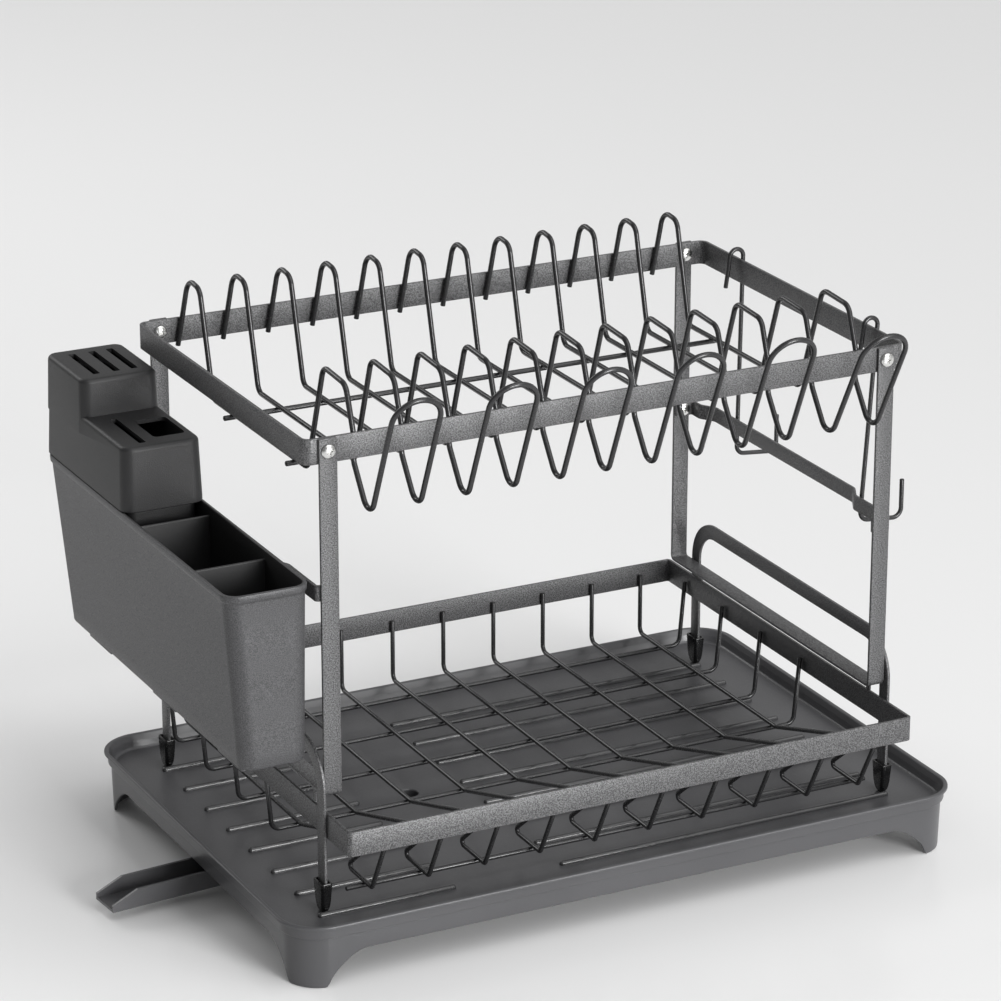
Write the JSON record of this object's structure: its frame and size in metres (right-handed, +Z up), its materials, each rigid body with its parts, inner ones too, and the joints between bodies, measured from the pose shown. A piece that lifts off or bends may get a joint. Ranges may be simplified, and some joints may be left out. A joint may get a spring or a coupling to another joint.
{
  "type": "dish drying rack",
  "caption": "Tabletop dish rack in two tiers: plate dividers on an open strip frame, a wire basket with handles, a drip tray with swivel spout, a utensil bin, a knife insert and board hooks.",
  "frame": {"origin": "centre of the whole object's outline, on the surface it stands on", "axes": "+Z up; +X from the utensil bin towards the board hooks; +Y from the front loops towards the back"},
  "size_m": [0.5362, 0.3426, 0.3717],
  "materials": {
    "tray_plastic": "satin dark grey moulded plastic",
    "strip_steel": "dark grey powder coat with a fine metallic speckle",
    "wire_steel": "smooth dark grey coat, semi-gloss",
    "foot_rubber": "smooth black, slightly glossy",
    "screw_steel": "bright zinc-plated",
    "holder_plastic": "dark graphite grey with a fine metallic fleck",
    "block_plastic": "fine-grained matt black"
  },
  "bodies": {
    "tray": {"drip_tray": "tray_plastic"},
    "spout": {"drain_spout": "tray_plastic"},
    "rack": {"bar_screw_back_left": "screw_steel", "bar_screw_back_right": "screw_steel", "bar_screw_front_left": "screw_steel", "bar_screw_front_right": "screw_steel", "crossbar_left": "strip_steel", "crossbar_right": "strip_steel", "divider_1": "wire_steel", "divider_2": "wire_steel", "divider_3": "wire_steel", "divider_4": "wire_steel", "divider_5": "wire_steel", "divider_6": "wire_steel", "foot_back_left": "foot_rubber", "foot_back_right": "foot_rubber", "foot_front_left": "foot_rubber", "foot_front_right": "foot_rubber", "hook_tie_wire": "wire_steel", "leg_arch_left": "strip_steel", "leg_arch_right": "strip_steel", "lower_cross_wire_1": "wire_steel", "lower_cross_wire_2": "wire_steel", "lower_cross_wire_3": "wire_steel", "lower_cross_wire_4": "wire_steel", "lower_frame": "strip_steel", "lower_wire_01": "wire_steel", "lower_wire_02": "wire_steel", "lower_wire_03": "wire_steel", "lower_wire_04": "wire_steel", "lower_wire_05": "wire_steel", "lower_wire_06": "wire_steel", "lower_wire_07": "wire_steel", "lower_wire_08": "wire_steel", "lower_wire_09": "wire_steel", "lower_wire_10": "wire_steel", "post_frame_left": "strip_steel", "post_frame_right": "strip_steel", "post_screw_back_left": "screw_steel", "post_screw_back_right": "screw_steel", "post_screw_front_left": "screw_steel", "post_screw_front_right": "screw_steel", "upper_cross_wire_1": "wire_steel", "upper_cross_wire_2": "wire_steel", "upper_frame": "strip_steel"},
    "utensil_bin": {"utensil_holder": "holder_plastic"},
    "knife_insert": {"knife_block": "block_plastic"},
    "board_hook_front_body": {"board_hook_front": "wire_steel"},
    "board_hook_back_body": {"board_hook_back": "wire_steel"}
  },
  "joints": [
    {"name": "spout_swivel", "type": "hinge", "parent": "tray", "child": "spout", "pos_m": [-0.04837, 0.01884, 0.0205], "axis": [0, 0, 1], "range_deg": [-25, 25]},
    {"name": "rack_lift", "type": "slide", "parent": "tray", "child": "rack", "axis": [0, 0, 1], "range_m": [0, 0.1]},
    {"name": "bin_lift", "type": "slide", "parent": "rack", "child": "utensil_bin", "axis": [0, 0, 1], "range_m": [0, 0.06]},
    {"name": "knife_insert_lift", "type": "slide", "parent": "utensil_bin", "child": "knife_insert", "axis": [0, 0, 1], "range_m": [0, 0.05]},
    {"name": "board_hook_front_lift", "type": "slide", "parent": "rack", "child": "board_hook_front_body", "axis": [0.0665, 0, 0.9978], "range_m": [0, 0.03]},
    {"name": "board_hook_back_lift", "type": "slide", "parent": "rack", "child": "board_hook_back_body", "axis": [0, 0, 1], "range_m": [0, 0.03]}
  ]
}
